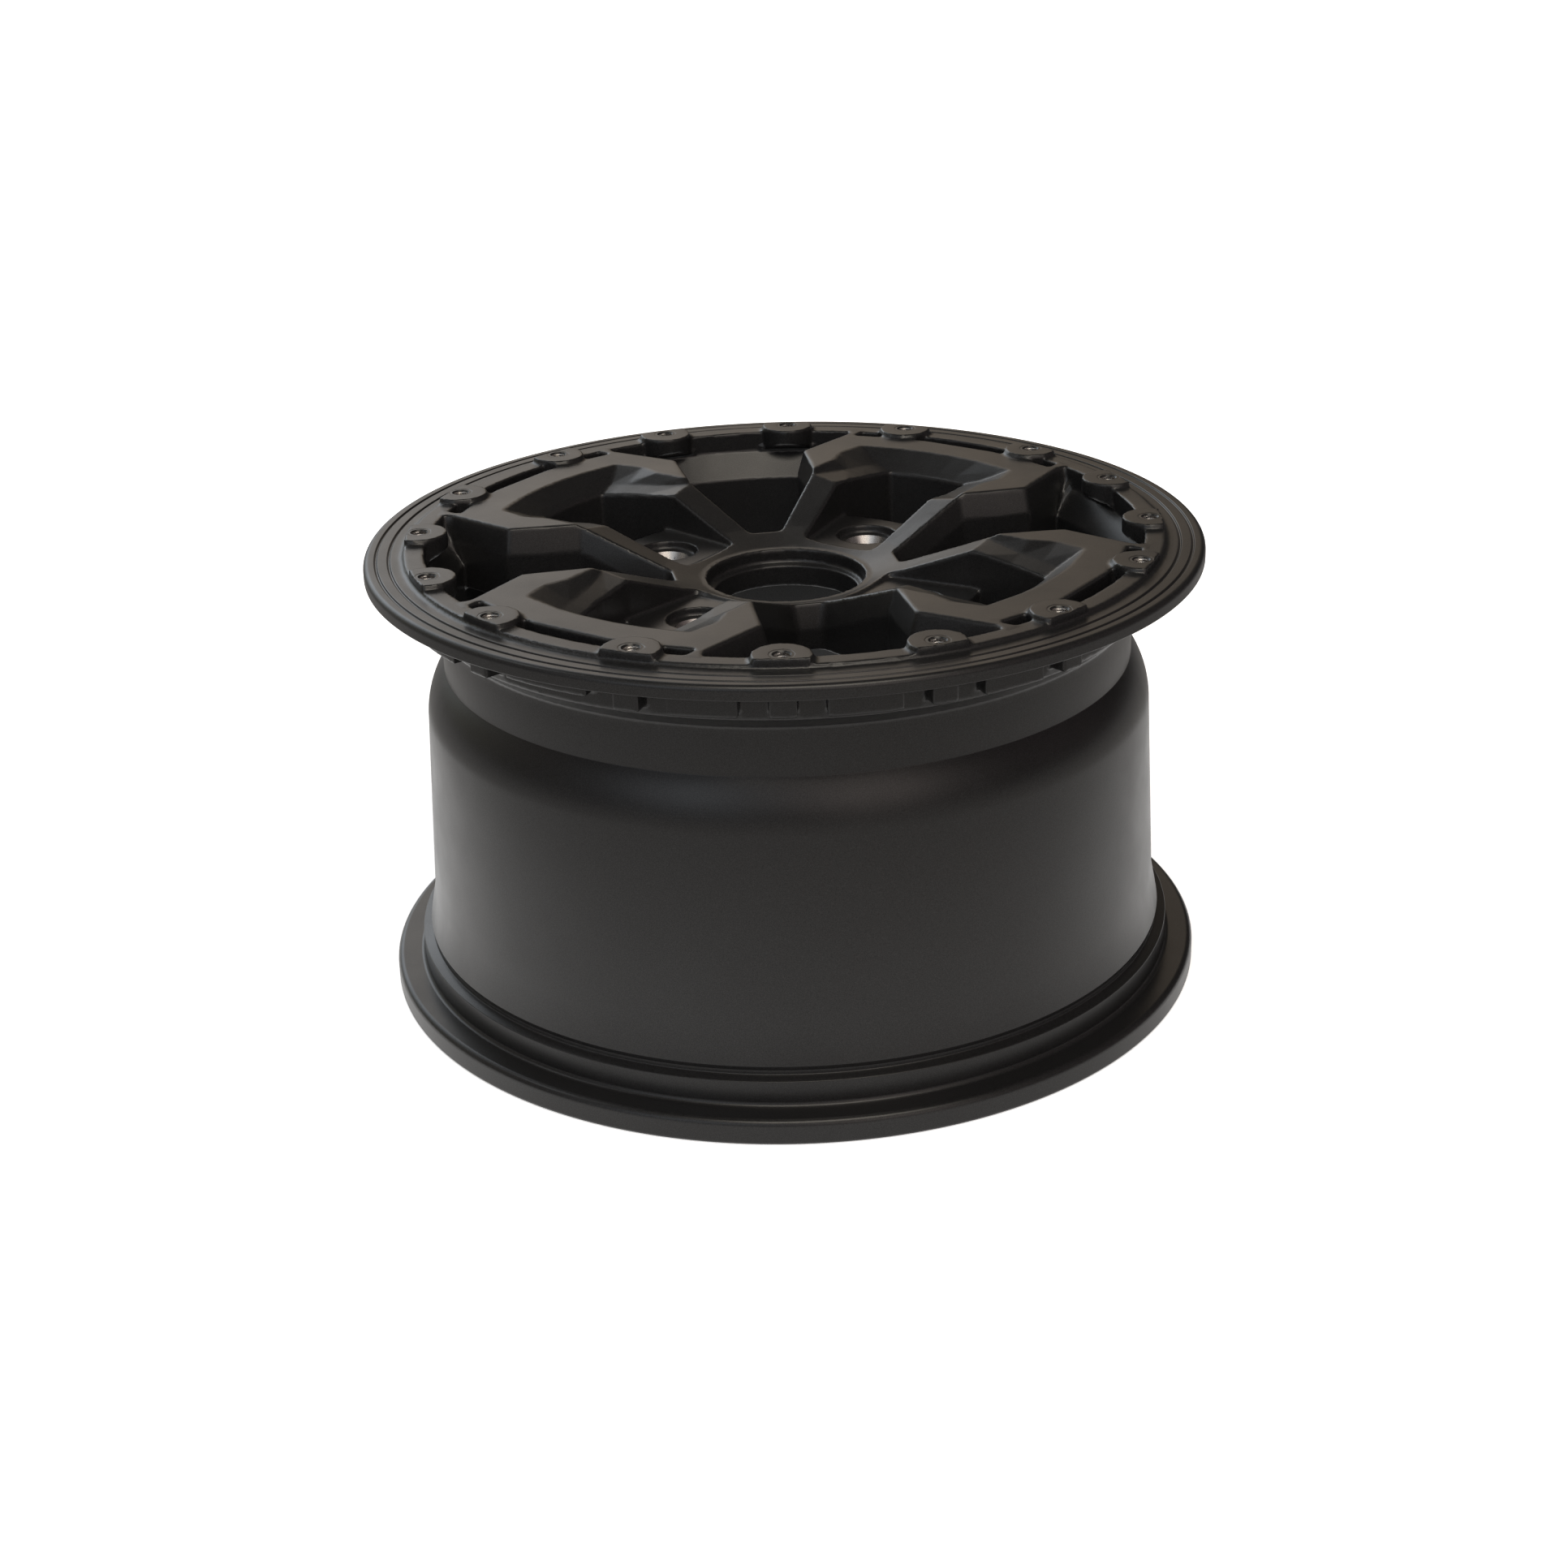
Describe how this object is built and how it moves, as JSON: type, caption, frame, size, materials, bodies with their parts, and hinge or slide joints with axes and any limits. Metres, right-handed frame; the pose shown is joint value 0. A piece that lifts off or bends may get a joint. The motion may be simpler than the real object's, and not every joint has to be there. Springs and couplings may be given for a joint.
{
  "type": "rear wheel rim",
  "caption": "Cast aluminium wheel rim with split spokes, a grooved bead lock face with screw bosses, and a deep barrel.",
  "frame": {"origin": "centre of the inboard flange's lower face, on the wheel's axis", "axes": "+Z along the wheel's axis, from the inboard flange towards the spokes; +X and +Y along the notches between the spokes"},
  "size_m": [0.383, 0.383, 0.2115],
  "materials": {
    "black_coat": "satin black powder coat"
  },
  "bodies": {
    "root": {"rim": "black_coat"}
  },
  "joints": []
}
